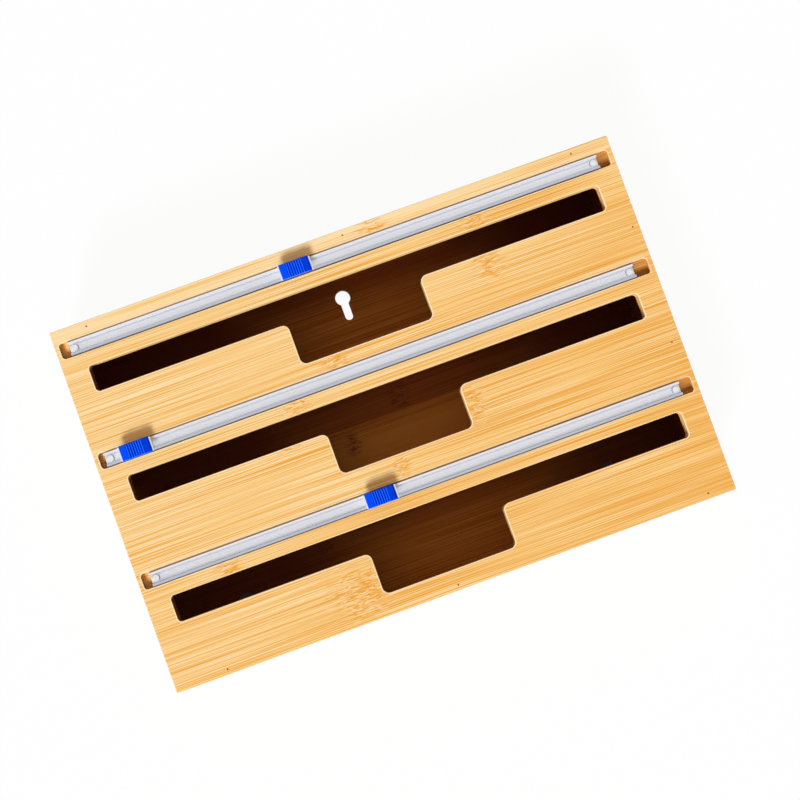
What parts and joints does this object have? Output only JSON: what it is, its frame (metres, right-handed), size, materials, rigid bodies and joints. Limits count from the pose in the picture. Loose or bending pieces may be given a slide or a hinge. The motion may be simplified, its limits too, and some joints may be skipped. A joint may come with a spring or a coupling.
{
  "type": "wrap organizer",
  "caption": "Flat bamboo box that stores rolls of wrap side by side, with film slots, finger notches and slide cutters in its face, a hinged loading door and keyholes for a wall.",
  "frame": {"origin": "middle of the back, on the plane that the box lies on", "axes": "+X along the rolls away from the loading door, +Y from the front wall to the rear wall, +Z out of the face"},
  "size_m": [0.355, 0.227, 0.078],
  "materials": {
    "bamboo": "sanded and clear oiled, fine straight grain",
    "bamboo_inside": "plain sanded bamboo ply",
    "clear_plastic": "translucent extruded plastic",
    "blue_plastic": "moulded, satin",
    "white_plastic": "moulded, satin",
    "foam_tape": "soft foam tape",
    "steel": "bright drawn wire",
    "blade_steel": "ground blade steel",
    "nickel": "nickel plated"
  },
  "bodies": {
    "box": {"face_panel": "bamboo", "front_wall": "bamboo", "rear_wall": "bamboo", "right_end_wall": "bamboo", "back_board_rear": "bamboo_inside", "back_board_front": "bamboo_inside", "divider_rear": "bamboo_inside", "divider_front": "bamboo_inside", "door_pivot_pins": "steel", "divider_magnets": "nickel", "face_nails": "steel", "back_nails": "steel", "corner_nails": "steel", "rail_tape_rear": "foam_tape", "rail_tape_middle": "foam_tape", "rail_tape_front": "foam_tape", "cutter_rail_rear": "clear_plastic", "cutter_rail_middle": "clear_plastic", "cutter_rail_front": "clear_plastic"},
    "door": {"loading_door": "bamboo", "door_magnets": "nickel"},
    "cutter_rear": {"slider_cap_rear": "blue_plastic", "slider_shoe_rear": "white_plastic", "cutter_blade_rear": "blade_steel"},
    "cutter_middle": {"slider_cap_middle": "blue_plastic", "slider_shoe_middle": "white_plastic", "cutter_blade_middle": "blade_steel"},
    "cutter_front": {"slider_cap_front": "blue_plastic", "slider_shoe_front": "white_plastic", "cutter_blade_front": "blade_steel"}
  },
  "joints": [
    {"name": "rear_slide", "type": "slide", "parent": "box", "child": "cutter_rear", "axis": [1, 0, 0], "range_m": [-0.1269, 0.1781]},
    {"name": "middle_slide", "type": "slide", "parent": "box", "child": "cutter_middle", "axis": [1, 0, 0], "range_m": [-0.0038, 0.3012]},
    {"name": "front_slide", "type": "slide", "parent": "box", "child": "cutter_front", "axis": [1, 0, 0], "range_m": [-0.1291, 0.1759]},
    {"name": "door_hinge", "type": "hinge", "parent": "box", "child": "door", "pos_m": [-0.1725, 0, 0.0546], "axis": [0, 1, 0], "range_deg": [0, 90]}
  ]
}
